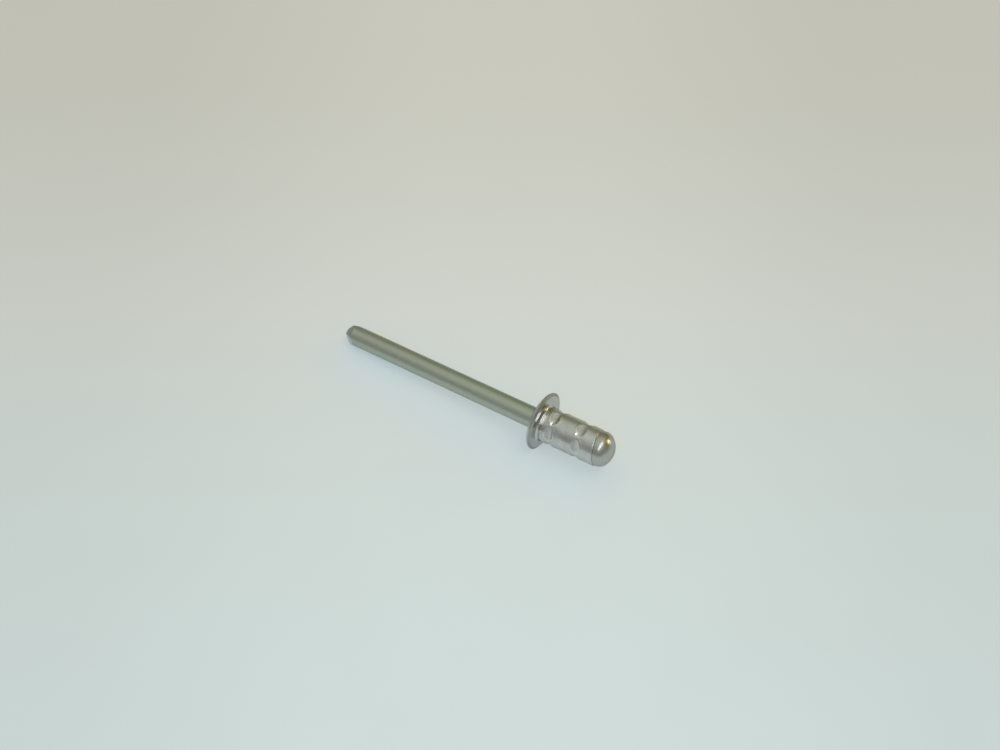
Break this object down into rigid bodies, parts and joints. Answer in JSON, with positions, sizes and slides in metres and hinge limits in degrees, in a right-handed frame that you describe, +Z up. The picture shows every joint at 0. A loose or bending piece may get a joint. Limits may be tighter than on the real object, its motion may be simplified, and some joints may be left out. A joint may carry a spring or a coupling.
{
  "type": "blind rivet",
  "caption": "Unset blind rivet with a flanged, dent-crimped aluminium sleeve and a dome-headed steel mandrel, for joining sheet from one side; lying as it rests.",
  "frame": {"origin": "centre of the overall box, on the surface the rivet lies on", "axes": "+X along the rivet towards its domed head, +Z up from the surface it lies on; the rivet rests on the rim of its flange and on the mandrel's cut tip, so its axis rises 4.1 degrees towards +X"},
  "size_m": [0.0432, 0.008, 0.008],
  "materials": {
    "sleeve_metal": "bright drawn, lightly dulled",
    "mandrel_metal": "drawn wire, grey-green, with fine lengthwise lines"
  },
  "bodies": {
    "root": {"sleeve": "sleeve_metal", "mandrel": "mandrel_metal"}
  },
  "joints": []
}
